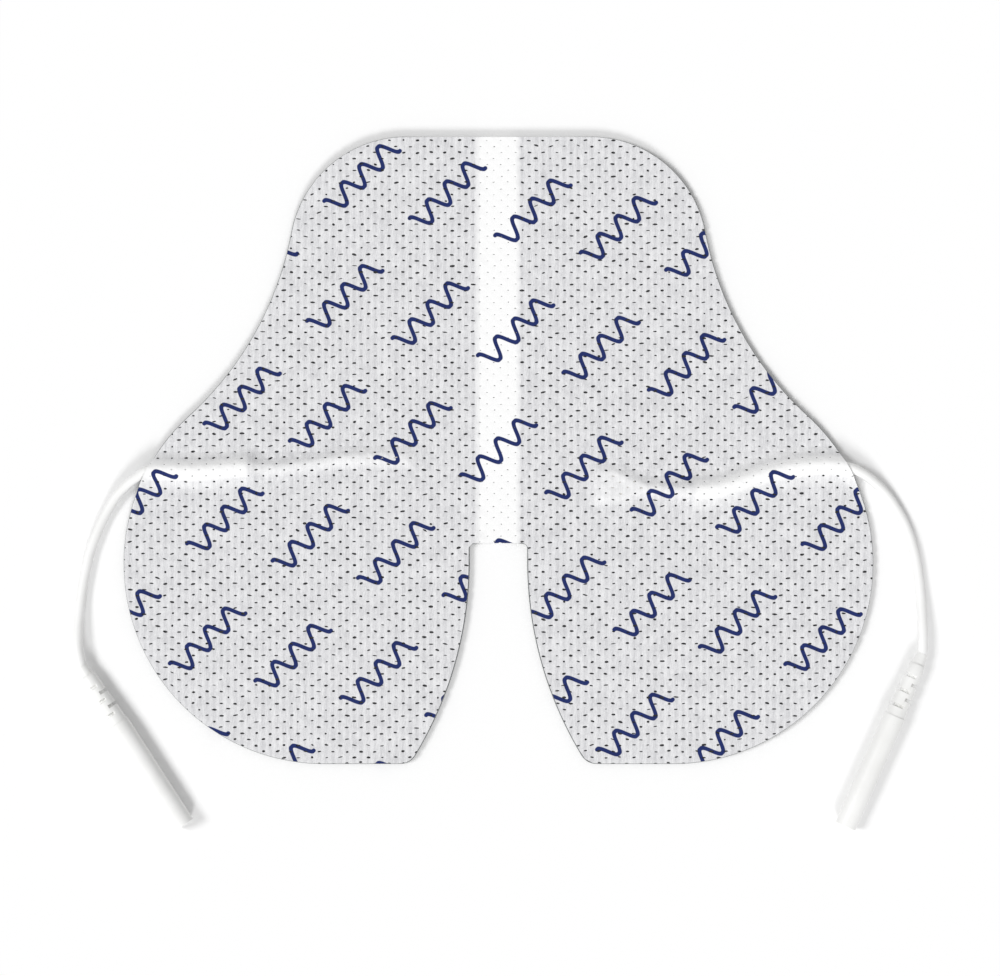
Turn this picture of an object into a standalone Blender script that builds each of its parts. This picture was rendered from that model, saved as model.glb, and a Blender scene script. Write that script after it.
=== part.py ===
"""Self-adhesive double electrode pad for nerve stimulation, lying on its gel face.

Made in metres, +Z up. The origin is under the middle of the pad, on the gel face. +Y is the top of
the butterfly, where its two halves are joined, and -Y is the end with the notch. Every named value
below is in millimetres or degrees.
"""

import math

import bmesh
import bpy

MM = 0.001

# Outline of the die-cut pad
PAD_WIDTH = 144.4
PAD_HEIGHT = 120.8
TOP_FLAT = 35.6
SHOULDER_RADIUS = 22.4
WAIST_RADIUS = 64.0
LOBE_RADIUS = 38.5
TIP_RADIUS = 3.2
NOTCH_WIDTH = 11.5
NOTCH_DEPTH = 42.5
NOTCH_STRAIGHT = 3.6
NOTCH_FLARE_RADIUS = 72.0
NOTCH_CORNER_RADIUS = 1.0
ARC_STEP = 3.5
TRIM_MARGIN = 6.0

# Layers, from the gel face up
GEL_THICKNESS = 0.95
FILM_THICKNESS = 0.10
COVER_THICKNESS = 0.40
GLUE_LINE = 0.04
POLE_GAP = 7.4
STRIP_CLEARANCE = 0.2

# Lead wires, bare strands and the tunnels that the cover makes over them
WIRE_DIAMETER = 1.9
WIRE_CLEARANCE = 0.2
WIRE_STEP = 2.4
BUTT_GAP = 0.3
STRAND_DIAMETER = 0.9
FAN_THINNING = 0.45
CREST_FLAT = 0.3
TUNNEL_FILLET = 1.2
TUNNEL_RUN_OUT = 4.0
TUNNEL_STEP = 1.6
EXIT_DROP = 13.0
FLOOR_CLEARANCE = 0.05

# Connectors
NOSE_LENGTH = 2.2
NOSE_TIP_DIAMETER = 2.1
NOSE_END_DIAMETER = 2.4
RELIEF_START_DIAMETER = 2.95
RELIEF_END_DIAMETER = 3.8
RELIEF_LENGTH = 10.8
RELIEF_CORE_DIAMETER = 1.9
BODY_DIAMETER = 4.15
BODY_LENGTH = 23.4
BODY_ROUND = 0.2
MOUTH_ROUND = 0.2
SLOT_WIDTH = 0.6
SLOT_PITCH = 1.55
SLOT_COUNT = 5
SLOT_FIRST = 2.55
SLOT_SWEEP = 190.0
SLOT_FACING = 163.0
BORE_DIAMETER = 3.1
BORE_DEPTH = 17.5

# Socket contacts
CONTACT_CLEARANCE = 0.3
CONTACT_BORE = 2.05
CONTACT_LENGTH = 15.0
CONTACT_BORE_DEPTH = 12.5
SLIT_WIDTH = 0.3
SLIT_LENGTH = 9.0

# Each lead leaves the pad's edge at EXIT_Y. Its routes are steps in x and y from there: BURIED runs
# inwards to the stripped end, BARE follows the bare strands on from it, and FREE runs outwards.
LEFT_EXIT_Y = -4.0
LEFT_BURIED = [(0.0, 0.0), (4.0, 0.1), (8.3, 0.05), (12.0, 0.15), (15.6, 0.45), (19.0, 0.7)]
LEFT_BARE = [(21.5, 0.75), (24.0, 0.6), (28.6, 1.0), (33.5, 1.7), (37.5, 2.3), (43.0, 2.6),
             (49.0, 2.6)]
LEFT_FAN_WIDTH = 1.6
LEFT_FREE = [(1.7, -1.05), (3.6, -2.5), (5.65, -4.55), (7.25, -6.95), (8.55, -9.35), (9.7, -11.95),
             (10.65, -14.45), (11.4, -17.05), (12.55, -22.95), (13.15, -28.75), (13.25, -32.6),
             (13.05, -34.85)]
LEFT_NOSE = (12.45, -37.55)
LEFT_HEADING = -57.2
RIGHT_EXIT_Y = -3.3
RIGHT_BURIED = [(0.0, 0.0), (4.0, 0.45), (9.8, 0.0), (14.6, -0.9), (19.4, -2.4), (24.3, -3.9),
                (29.1, -4.5)]
RIGHT_BARE = [(31.5, -4.55), (34.0, -4.3), (38.8, -3.9), (43.0, -3.6), (46.5, -3.4)]
RIGHT_FAN_WIDTH = 5.6
RIGHT_FREE = [(2.2, -0.9), (4.35, -2.3), (6.95, -4.7), (9.05, -7.45), (10.9, -10.7),
              (12.45, -14.9), (13.4, -19.4), (14.0, -24.2), (14.25, -27.95), (14.35, -30.95),
              (14.35, -33.35)]
RIGHT_NOSE = (14.25, -35.9)
RIGHT_HEADING = -114.1

# Heights and radii that follow from the values above
FILM_BOTTOM = GEL_THICKNESS + GLUE_LINE
FILM_TOP = FILM_BOTTOM + FILM_THICKNESS
COVER_BOTTOM = FILM_TOP + GLUE_LINE
COVER_TOP = COVER_BOTTOM + COVER_THICKNESS
WIRE_RADIUS = WIRE_DIAMETER / 2
STRAND_RADIUS = STRAND_DIAMETER / 2
BURIED_Z = FILM_TOP + WIRE_CLEARANCE + WIRE_RADIUS
LYING_Z = FLOOR_CLEARANCE + WIRE_RADIUS
CONNECTOR_Z = FLOOR_CLEARANCE + BODY_DIAMETER / 2
RELIEF_END = NOSE_LENGTH + RELIEF_LENGTH
CONNECTOR_LENGTH = RELIEF_END + BODY_LENGTH
NOTCH_TOP = NOTCH_DEPTH - PAD_HEIGHT / 2
POLE_EDGE = POLE_GAP / 2


def arc(centre, radius, start, end):
    """Points on a circle from one angle to another, in degrees, both ends included."""
    steps = max(2, math.ceil(abs(end - start) / ARC_STEP))
    turns = [math.radians(start + (end - start) * i / steps) for i in range(steps + 1)]
    return [(centre[0] + radius * math.cos(t), centre[1] + radius * math.sin(t)) for t in turns]


def angle_of(start, end):
    return math.degrees(math.atan2(end[1] - start[1], end[0] - start[0]))


def half_outline():
    """The right half's edge, clockwise from the top middle to the top of the notch."""
    half_width, half_height = PAD_WIDTH / 2, PAD_HEIGHT / 2
    shoulder = (TOP_FLAT / 2, half_height - SHOULDER_RADIUS)
    lobe = (half_width - LOBE_RADIUS, LOBE_RADIUS - half_height)

    # The hollow waist is the circle that touches the shoulder's and the lobe's from outside.
    to_shoulder = SHOULDER_RADIUS + WAIST_RADIUS
    to_lobe = LOBE_RADIUS + WAIST_RADIUS
    span = math.dist(shoulder, lobe)
    along = (to_shoulder ** 2 - to_lobe ** 2 + span ** 2) / (2 * span)
    aside = math.sqrt(to_shoulder ** 2 - along ** 2)
    ux, uy = (lobe[0] - shoulder[0]) / span, (lobe[1] - shoulder[1]) / span
    waist = (shoulder[0] + along * ux - aside * uy, shoulder[1] + along * uy + aside * ux)

    # The notch's side is straight at its top, then flares out on a circle inside the lobe.
    side = NOTCH_WIDTH / 2
    flare = (side + NOTCH_FLARE_RADIUS, NOTCH_TOP - NOTCH_STRAIGHT)

    # The tip's round touches the flare's circle from inside, and the bottom edge.
    tip_y = TIP_RADIUS - half_height
    reach = NOTCH_FLARE_RADIUS - TIP_RADIUS
    tip = (flare[0] - math.sqrt(reach ** 2 - (flare[1] - tip_y) ** 2), tip_y)
    tip_turn = angle_of(flare, tip) % 360

    corner = (side - NOTCH_CORNER_RADIUS, NOTCH_TOP - NOTCH_CORNER_RADIUS)
    return (
        [(0.0, half_height)]
        + arc(shoulder, SHOULDER_RADIUS, 90, angle_of(shoulder, waist))
        + arc(waist, WAIST_RADIUS, angle_of(waist, shoulder) % 360, angle_of(waist, lobe) % 360)
        + arc(lobe, LOBE_RADIUS, angle_of(lobe, waist), -90)
        + arc(tip, TIP_RADIUS, 270, tip_turn)
        + arc(flare, NOTCH_FLARE_RADIUS, tip_turn, 180)
        + arc(corner, NOTCH_CORNER_RADIUS, 0, 90)
        + [(0.0, NOTCH_TOP)]
    )


def without_repeats(points):
    kept = []
    for point in points:
        if not kept or math.dist(point, kept[-1]) > 1e-4:
            kept.append(point)
    return kept


def edge_x(y):
    """How far from the middle line the pad's outer edge is at this height."""
    points = half_outline()
    return max(
        x0 + (x1 - x0) * (y - y0) / (y1 - y0)
        for (x0, y0), (x1, y1) in zip(points, points[1:])
        if (y0 - y) * (y1 - y) <= 0 and y0 != y1
    )


def link(name, obj_data):
    obj = bpy.data.objects.new(name, obj_data)
    bpy.context.scene.collection.objects.link(obj)
    return obj


def mesh_object(name, bm):
    bmesh.ops.recalc_face_normals(bm, faces=bm.faces)
    mesh = bpy.data.meshes.new(name)
    bm.to_mesh(mesh)
    bm.free()
    return link(name, mesh)


def lofted(name, rings):
    """A closed body through rings of as many points each, in millimetres, with its ends filled."""
    bm = bmesh.new()
    made = [[bm.verts.new([value * MM for value in point]) for point in ring] for ring in rings]
    for low, high in zip(made, made[1:]):
        for i in range(len(low)):
            j = (i + 1) % len(low)
            bm.faces.new((low[i], low[j], high[j], high[i]))
    bm.faces.new(made[0])
    bm.faces.new(made[-1])
    return mesh_object(name, bm)


def plate(name, outline, bottom, top):
    """A flat sheet of this outline between two heights."""
    return lofted(name, [[(x, y, z) for x, y in outline] for z in (bottom, top)])


def turned(name, profile, sides):
    """A body turned about X from (x, radius) points. The first and last lie on the axis."""
    bm = bmesh.new()
    rings = []
    for x, radius in profile:
        if radius == 0:
            rings.append([bm.verts.new((x * MM, 0, 0))] * sides)
            continue
        turns = [2 * math.pi * (i + 0.5) / sides for i in range(sides)]
        rings.append([
            bm.verts.new((x * MM, radius * math.cos(t) * MM, radius * math.sin(t) * MM))
            for t in turns
        ])
    for low, high in zip(rings, rings[1:]):
        for i in range(sides):
            j = (i + 1) % sides
            corners = []
            for vert in (low[i], low[j], high[j], high[i]):
                if vert not in corners:
                    corners.append(vert)
            bm.faces.new(corners)
    return mesh_object(name, bm)


def combine(obj, other, operation):
    modifier = obj.modifiers.new(operation.title() + " " + other.name, "BOOLEAN")
    modifier.operation = operation
    modifier.solver = "EXACT"
    modifier.object = other


def helper(obj):
    """Marks a tool body, which shapes another piece and isn't one itself."""
    obj.hide_render = True
    obj.display_type = "WIRE"
    return obj


def material(name, colour, roughness, metallic=0.0):
    made = bpy.data.materials.new(name)
    made.use_nodes = True
    shader = made.node_tree.nodes["Principled BSDF"]
    shader.inputs["Base Color"].default_value = (*colour, 1)
    shader.inputs["Roughness"].default_value = roughness
    shader.inputs["Metallic"].default_value = metallic
    return made


def give(obj, made, smooth=False):
    obj.data.materials.append(made)
    if smooth:
        obj.data.shade_smooth()
        obj.data.set_sharp_from_angle(angle=math.radians(35))
    return obj


def smooth_route(points, spacing, heading=None):
    """A smooth curve through the points (Catmull-Rom), read at even steps. It can end on a heading."""
    first, last = points[0], points[-1]
    before = (2 * first[0] - points[1][0], 2 * first[1] - points[1][1])
    after = (2 * last[0] - points[-2][0], 2 * last[1] - points[-2][1])
    if heading:
        reach = 2 * math.dist(points[-2], last)
        after = (points[-2][0] + heading[0] * reach, points[-2][1] + heading[1] * reach)
    padded = [before] + list(points) + [after]
    fine = []
    for p0, p1, p2, p3 in zip(padded, padded[1:], padded[2:], padded[3:]):
        for i in range(24):
            t = i / 24
            fine.append(tuple(
                0.5 * (2 * b + (c - a) * t + (2 * a - 5 * b + 4 * c - d) * t * t
                       + (3 * b - a - 3 * c + d) * t ** 3)
                for a, b, c, d in zip(p0, p1, p2, p3)
            ))
    fine.append(tuple(last))
    gone = distances(fine)
    count = max(2, round(gone[-1] / spacing))
    read, at = [], 0
    for i in range(count + 1):
        wanted = gone[-1] * i / count
        while at < len(gone) - 2 and gone[at + 1] < wanted:
            at += 1
        share = (wanted - gone[at]) / (gone[at + 1] - gone[at])
        read.append(tuple(a + (b - a) * share for a, b in zip(fine[at], fine[at + 1])))
    return read


def distances(route):
    gone = [0.0]
    for a, b in zip(route, route[1:]):
        gone.append(gone[-1] + math.dist(a, b))
    return gone


def nearest(route, point):
    return min(range(len(route)), key=lambda i: math.dist(route[i], point))


def eased(share):
    share = min(1.0, max(0.0, share))
    return share * share * (3 - 2 * share)


def sideways(route, i):
    """The unit vector to the left of a flat route at one of its points."""
    a, b = route[max(0, i - 1)], route[min(len(route) - 1, i + 1)]
    length = math.dist(a, b)
    return (-(b[1] - a[1]) / length, (b[0] - a[0]) / length)


def strand_shape(share, fan_width):
    """Half the flat width and the radius of the strands, from their start (0) to their end (1)."""
    fanned = eased(2 * share - 1)
    return (fan_width / 2 - STRAND_RADIUS) * fanned, STRAND_RADIUS * (1 - FAN_THINNING * fanned)


def draped(half_flat, radius, centre_z, lift, base_z, rise):
    """Half a section of a sheet laid over a core, from its crest out to its base: round over the core,
    then a hollow fillet. rise fades it into the flat sheet."""
    fillet_z = COVER_TOP + TUNNEL_FILLET
    fillet = fillet_z - base_z
    over = radius + lift
    across = math.sqrt(max((over + fillet) ** 2 - (centre_z - fillet_z) ** 2, 0.01))
    meet = math.degrees(math.atan2(fillet_z - centre_z, across))
    section = []
    for i in range(5):
        t = math.radians(90 + (meet - 90) * i / 4)
        section.append((half_flat + over * math.cos(t), centre_z + over * math.sin(t)))
    for i in range(1, 4):
        t = math.radians(180 + meet + (90 - meet) * i / 3)
        section.append((half_flat + across + fillet * math.cos(t), fillet_z + fillet * math.sin(t)))
    sink = COVER_THICKNESS / 8
    return [(u, base_z + (z - base_z) * rise - sink * (2 - rise)) for u, z in section]


def tunnel_rings(stations, lift, base_z, floor_z):
    """Sections along a lead. A station is (point, sideways, half flat, radius, height, rise)."""
    rings = []
    for (x, y), (sx, sy), half_flat, radius, centre_z, rise in stations:
        half = draped(half_flat, radius, centre_z, lift, base_z, rise)
        section = [(-u, z) for u, z in reversed(half)] + half
        section = [(section[0][0], floor_z)] + section + [(section[-1][0], floor_z)]
        rings.append([(x + sx * u, y + sy * u, z) for u, z in section])
    return rings


def tunnel_stations(run, stripped, fan_width):
    """The core under the cover at each point of the run: the wire, then the bare strands."""
    gone = distances(run)
    end = nearest(run, stripped)
    stations = []
    for i, point in enumerate(run):
        past = max(0.0, gone[i] - gone[end])
        spread, thin = strand_shape(past / (gone[-1] - gone[end]), fan_width)
        radius = WIRE_RADIUS + (thin - WIRE_RADIUS) * eased(past / TUNNEL_RUN_OUT)
        stations.append((point, sideways(run, i), CREST_FLAT / 2 + spread, radius,
                         FILM_TOP + WIRE_CLEARANCE + radius, 1.0))

    # Past the strands the tunnel fades into the flat sheet.
    (x, y), (sx, sy), half_flat, radius, z, _ = stations[-1]
    for share, rise in ((0.3, 0.99), (1.0, 0.0)):
        step = TUNNEL_RUN_OUT * share
        stations.append(((x + sy * step, y - sx * step), (sx, sy), half_flat, radius, z, rise))
    return stations


def add_strands(name, route, fan_width):
    """Bare strands that leave the wire's middle, settle on the film and fan out."""
    gone = distances(route)
    rings = []
    for i, (x, y) in enumerate(route):
        sx, sy = sideways(route, i)
        spread, thin = strand_shape(gone[i] / gone[-1], fan_width)
        resting = FILM_TOP + WIRE_CLEARANCE + thin
        z = BURIED_Z + (resting - BURIED_Z) * eased(gone[i] / TUNNEL_RUN_OUT)
        ring = []
        for j in range(10):
            t = 2 * math.pi * (j + 0.5) / 10
            u = thin * math.cos(t) + math.copysign(spread, math.cos(t))
            ring.append((x + sx * u, y + sy * u, z + thin * math.sin(t)))
        rings.append(ring)
    give(lofted(name, rings), tinned, smooth=True)


def add_wire(name, flat, exit_point):
    """One insulated wire: level under the cover, down to the table, and up to its connector."""
    gone = distances(flat)
    leaves = gone[nearest(flat, exit_point)]
    curve = bpy.data.curves.new(name, "CURVE")
    curve.dimensions = "3D"
    curve.bevel_depth = WIRE_RADIUS * MM
    curve.bevel_resolution = 2
    curve.use_fill_caps = True
    spline = curve.splines.new("POLY")
    spline.points.add(len(flat) - 1)
    for point, (x, y), past in zip(spline.points, flat, gone):
        z = BURIED_Z + (LYING_Z - BURIED_Z) * eased((past - leaves) / EXIT_DROP)
        z += (CONNECTOR_Z - z) * eased(1 - (gone[-1] - WIRE_DIAMETER - past) / EXIT_DROP)
        point.co = (x * MM, y * MM, z * MM, 1)
    curve.materials.append(pvc)
    link(name, curve)


def add_connector(side, nose, turn):
    """The moulded connector and its socket, made along X from the nose and laid at the wire's end."""
    pieces = []
    bore_start = CONNECTOR_LENGTH - BORE_DEPTH
    body = turned(side + "_connector_body", [
        (0, 0), (0, NOSE_TIP_DIAMETER / 2),
        (NOSE_LENGTH, NOSE_END_DIAMETER / 2), (NOSE_LENGTH, RELIEF_START_DIAMETER / 2),
        (RELIEF_END, RELIEF_END_DIAMETER / 2), (RELIEF_END, BODY_DIAMETER / 2 - BODY_ROUND / 2),
        (RELIEF_END + BODY_ROUND, BODY_DIAMETER / 2),
        (CONNECTOR_LENGTH - MOUTH_ROUND, BODY_DIAMETER / 2),
        (CONNECTOR_LENGTH - MOUTH_ROUND * 0.3, BODY_DIAMETER / 2 - MOUTH_ROUND * 0.3),
        (CONNECTOR_LENGTH, BODY_DIAMETER / 2 - MOUTH_ROUND),
        (CONNECTOR_LENGTH, BORE_DIAMETER / 2),
        (bore_start, BORE_DIAMETER / 2), (bore_start, 0),
    ], 32)
    pieces.append(give(body, moulded, smooth=True))
    for slot in range(SLOT_COUNT):
        facing = SLOT_FACING + 180 * (slot % 2)
        at = NOSE_LENGTH + SLOT_FIRST + SLOT_PITCH * slot
        sweep = [math.radians(facing + SLOT_SWEEP * (i / 12 - 0.5)) for i in range(13)]
        section = [(BODY_DIAMETER * math.cos(t), BODY_DIAMETER * math.sin(t)) for t in sweep]
        core = RELIEF_CORE_DIAMETER / 2
        section += [(core * math.cos(t), core * math.sin(t)) for t in reversed(sweep)]
        cutter = helper(lofted(f"{side}_slot_{slot}", [
            [(at + SLOT_WIDTH * share, y, z) for y, z in section] for share in (-0.5, 0.5)
        ]))
        combine(body, cutter, "DIFFERENCE")
        pieces.append(cutter)

    radius = BORE_DIAMETER / 2 - CONTACT_CLEARANCE
    start = bore_start + CONTACT_CLEARANCE
    end = start + CONTACT_LENGTH
    contact = turned(side + "_socket_contact", [
        (start, 0), (start, radius), (end, radius), (end, CONTACT_BORE / 2),
        (end - CONTACT_BORE_DEPTH, CONTACT_BORE / 2), (end - CONTACT_BORE_DEPTH, 0),
    ], 24)
    pieces.append(give(contact, nickel, smooth=True))
    slit = helper(lofted(side + "_contact_slit", [
        [(x, -SLIT_WIDTH / 2, CONTACT_BORE / 4), (x, SLIT_WIDTH / 2, CONTACT_BORE / 4),
         (x, SLIT_WIDTH / 2, BORE_DIAMETER), (x, -SLIT_WIDTH / 2, BORE_DIAMETER)]
        for x in (end - SLIT_LENGTH, end + CONTACT_CLEARANCE)
    ]))
    combine(contact, slit, "DIFFERENCE")
    pieces.append(slit)
    for piece in pieces:
        piece.location = (nose[0] * MM, nose[1] * MM, CONNECTOR_Z * MM)
        piece.rotation_euler = (0, 0, turn)


for old in list(bpy.data.objects):
    bpy.data.objects.remove(old, do_unlink=True)

fabric = material("white_nonwoven_fabric", (0.78, 0.78, 0.81), 0.85)
white_film = material("white_polyester_film", (0.85, 0.85, 0.84), 0.45)
carbon = material("black_carbon_film", (0.012, 0.012, 0.013), 0.4)
gel = material("clear_grey_hydrogel", (0.10, 0.11, 0.11), 0.12)
pvc = material("white_pvc_insulation", (0.83, 0.83, 0.81), 0.38)
tinned = material("tinned_copper_strands", (0.72, 0.70, 0.66), 0.3, 1.0)
moulded = material("white_moulded_pvc", (0.84, 0.84, 0.82), 0.34)
nickel = material("nickel_plated_brass", (0.76, 0.74, 0.68), 0.22, 1.0)

# Gel and film, one of each on either side of the gap between the poles
outline = half_outline()
pole = without_repeats(
    [(POLE_EDGE, PAD_HEIGHT / 2)]
    + [point for point in outline if point[0] > POLE_EDGE]
    + [(POLE_EDGE, NOTCH_TOP)]
)
for side, sign in (("left", -1), ("right", 1)):
    edge = [(sign * x, y) for x, y in pole]
    give(plate(side + "_gel_sheet", edge, 0.0, GEL_THICKNESS), gel)
    give(plate(side + "_conductive_film", edge, FILM_BOTTOM, FILM_TOP), carbon)

# The strip that keeps the two films apart
strip = POLE_EDGE - STRIP_CLEARANCE
give(plate("insulating_strip", [
    (-strip, NOTCH_TOP), (strip, NOTCH_TOP), (strip, PAD_HEIGHT / 2), (-strip, PAD_HEIGHT / 2),
], FILM_BOTTOM, FILM_TOP), white_film)

# The cover starts as a larger sheet. It gets its tunnels, then it is cut to the outline.
wide, high = PAD_WIDTH / 2 + TRIM_MARGIN, PAD_HEIGHT / 2 + TRIM_MARGIN
cover = give(plate(
    "fabric_cover", [(-wide, -high), (wide, -high), (wide, high), (-wide, high)],
    COVER_BOTTOM, COVER_TOP,
), fabric)

LEADS = (
    ("left", -1, LEFT_EXIT_Y, LEFT_BURIED, LEFT_BARE, LEFT_FAN_WIDTH, LEFT_FREE, LEFT_NOSE,
     LEFT_HEADING),
    ("right", 1, RIGHT_EXIT_Y, RIGHT_BURIED, RIGHT_BARE, RIGHT_FAN_WIDTH, RIGHT_FREE, RIGHT_NOSE,
     RIGHT_HEADING),
)
for side, sign, exit_y, buried, bare, fan_width, free, nose_step, heading in LEADS:
    exit_x = edge_x(exit_y)
    inside = [(sign * (exit_x - dx), exit_y + dy) for dx, dy in buried]
    strands = [(sign * (exit_x - dx), exit_y + dy) for dx, dy in bare]
    outside = [(sign * (exit_x + dx), exit_y + dy) for dx, dy in free]
    nose = (sign * (exit_x + nose_step[0]), exit_y + nose_step[1])
    turn = math.radians(heading)
    ahead = (math.cos(turn), math.sin(turn))

    run = smooth_route([outside[1], outside[0]] + inside + strands, TUNNEL_STEP)
    stations = tunnel_stations(run, inside[-1], fan_width)
    ridge = helper(lofted(side + "_ridge", tunnel_rings(
        stations, WIRE_CLEARANCE + COVER_THICKNESS, COVER_TOP, COVER_BOTTOM + COVER_THICKNESS / 2)))
    hollow = helper(lofted(side + "_hollow", tunnel_rings(
        stations, WIRE_CLEARANCE, COVER_BOTTOM, GEL_THICKNESS / 2)))
    combine(cover, ridge, "UNION")
    combine(cover, hollow, "DIFFERENCE")

    reach = math.dist(inside[-1], strands[0])
    butt = tuple(a + (b - a) * BUTT_GAP / reach for a, b in zip(inside[-1], strands[0]))
    add_strands(side + "_conductor", smooth_route([butt] + strands, TUNNEL_STEP), fan_width)

    wire_end = (nose[0] - ahead[0] * BUTT_GAP, nose[1] - ahead[1] * BUTT_GAP)
    add_wire(side + "_lead_wire",
             smooth_route(inside[::-1] + outside + [wire_end], WIRE_STEP, ahead), inside[0])
    add_connector(side, nose, turn)

die = helper(plate("outline_die", without_repeats(
    outline + [(-x, y) for x, y in reversed(outline)])[:-1], -TRIM_MARGIN, BURIED_Z + TRIM_MARGIN))
combine(cover, die, "INTERSECT")
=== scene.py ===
"""Dressed model of the butterfly electrode pad: perforated fabric over carbon film and gel, with two
white leads that end in slotted pin sockets. Lengths are in millimetres up to the point where a mesh
is made, and positions are in the solids' own frame."""

import math

import bpy
import numpy as np
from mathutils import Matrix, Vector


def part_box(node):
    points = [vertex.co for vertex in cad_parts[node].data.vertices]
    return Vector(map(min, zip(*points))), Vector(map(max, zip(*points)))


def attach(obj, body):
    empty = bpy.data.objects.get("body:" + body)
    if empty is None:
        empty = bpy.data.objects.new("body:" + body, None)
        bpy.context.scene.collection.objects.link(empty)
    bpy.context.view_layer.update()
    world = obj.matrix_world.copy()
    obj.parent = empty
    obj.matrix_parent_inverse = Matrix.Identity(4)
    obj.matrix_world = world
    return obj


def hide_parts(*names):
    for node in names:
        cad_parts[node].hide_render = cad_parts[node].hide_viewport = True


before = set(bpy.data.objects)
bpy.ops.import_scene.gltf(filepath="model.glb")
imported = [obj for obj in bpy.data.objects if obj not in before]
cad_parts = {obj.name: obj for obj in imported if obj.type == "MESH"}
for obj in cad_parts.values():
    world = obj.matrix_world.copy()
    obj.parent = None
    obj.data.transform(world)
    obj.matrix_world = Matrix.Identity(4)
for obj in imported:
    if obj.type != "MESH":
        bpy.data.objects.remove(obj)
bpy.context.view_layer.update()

MM = 0.001
chance = np.random.default_rng(7)


def levels_of(node):
    """A solid's lowest and highest z, in millimetres."""
    low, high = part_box(node)
    return low[2] / MM, high[2] / MM


def width_of(node, axis):
    low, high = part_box(node)
    return (high[axis] - low[axis]) / MM


# The die-cut outline, as the solids have it
PAD_WIDTH = width_of("fabric_cover", 0)
PAD_HEIGHT = width_of("fabric_cover", 1)
TOP_FLAT = 35.6
SHOULDER_RADIUS = 22.4
WAIST_RADIUS = 64.0
LOBE_RADIUS = 38.5
TIP_RADIUS = 3.2
NOTCH_WIDTH = 11.5
NOTCH_DEPTH = 42.5
NOTCH_STRAIGHT = 3.6
NOTCH_FLARE_RADIUS = 72.0
NOTCH_CORNER_RADIUS = 1.0
NOTCH_TOP = NOTCH_DEPTH - PAD_HEIGHT / 2
ARC_CHORD = 0.7

# Layers, from the gel face up
GEL_THICKNESS = levels_of("left_gel_sheet")[1]
FILM_TOP = levels_of("left_conductive_film")[1]
COVER_BOTTOM = levels_of("fabric_cover")[0]
COVER_THICKNESS = 0.4
COVER_TOP = COVER_BOTTOM + COVER_THICKNESS
POLE_EDGE = 3.7
GEL_BULGE = 0.2
GEL_TUCK = 0.2
GEL_ROWS = 9

# Perforations of the cover: ovals in staggered rows
PITCH = 2.70
ROW = 1.155
FIRST_HOLE = (0.535, -0.325)
HOLE_LONG = 0.41
HOLE_SHORT = 0.19
HOLE_ON_WHITE = 0.45
HOLE_SIZE = 0.92
SIZE_SPREAD = 0.2
SIZE_LIMITS = (0.45, 1.25)
RIM_WOBBLE = 0.07
HOLE_TILT = 9.0
RIM_DIP = 0.09
RIM_POINTS = 8
CORNER_SPREAD = 0.06
HOLE_SPREAD = 0.07
EDGE_SNAP = 0.06

# White behind the cover, and painted light beside each lead: its share, how far it holds and over what
# distance it ends, across the strip, across a lead, and along a lead past the wire's stripped end
STRIP_WHITE = (1.0, 3.45, 0.5)
WIRE_WHITE = (0.7, 1.3, 0.8)
# Painted light beside each wire, which lightens the shaded flanks of the cover's ridge
FLANK_PAINTED_LIGHT = (0.3, 2.6, 1.8)
STRANDS_WHITE = (0.42, 0.5, 1.6)
STRIPPED_END = (1.0, -0.5, 1.5)

# Leads, as in the solids
WIRE_DIAMETER = 1.9
WIRE_RADIUS = WIRE_DIAMETER / 2
WIRE_CLEARANCE = 0.2
STRAND_RADIUS = 0.45
FAN_THINNING = 0.45
CREST_FLAT = 0.3
COVER_LIFT = 0.47
TUNNEL_FILLET = 3.2
TUNNEL_HALF = 4.0
TUNNEL_RUN_OUT = 4.0
EXIT_DROP = 13.0
FLOOR_CLEARANCE = 0.05
BURIED_Z = FILM_TOP + WIRE_CLEARANCE + WIRE_RADIUS
LYING_Z = FLOOR_CLEARANCE + WIRE_RADIUS
WIRE_GRIP = 0.5
WIRE_STEP = 0.45
WIRE_SIDES = 28

# Connectors
NOSE_LENGTH = 2.2
NOSE_TIP_DIAMETER = 2.1
NOSE_END_DIAMETER = 2.4
RELIEF_LENGTH = 10.8
RELIEF_START_DIAMETER = 2.95
RELIEF_END_DIAMETER = 3.8
RELIEF_CORE_DIAMETER = 1.9
BODY_DIAMETER = 4.15
BODY_LENGTH = 23.4
SLOT_WIDTH = 0.6
SLOT_PITCH = 1.55
SLOT_COUNT = 5
SLOT_FIRST = 2.55
SLOT_SWEEP = 190.0
SLOT_FACING = 163.0
SLOT_EDGE = 0.1
CONNECTOR_TURN = 7.5
BORE_DIAMETER = 3.1
BORE_DEPTH = 17.5
CONNECTOR_Z = FLOOR_CLEARANCE + BODY_DIAMETER / 2
RELIEF_END = NOSE_LENGTH + RELIEF_LENGTH
CONNECTOR_LENGTH = RELIEF_END + BODY_LENGTH

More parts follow.
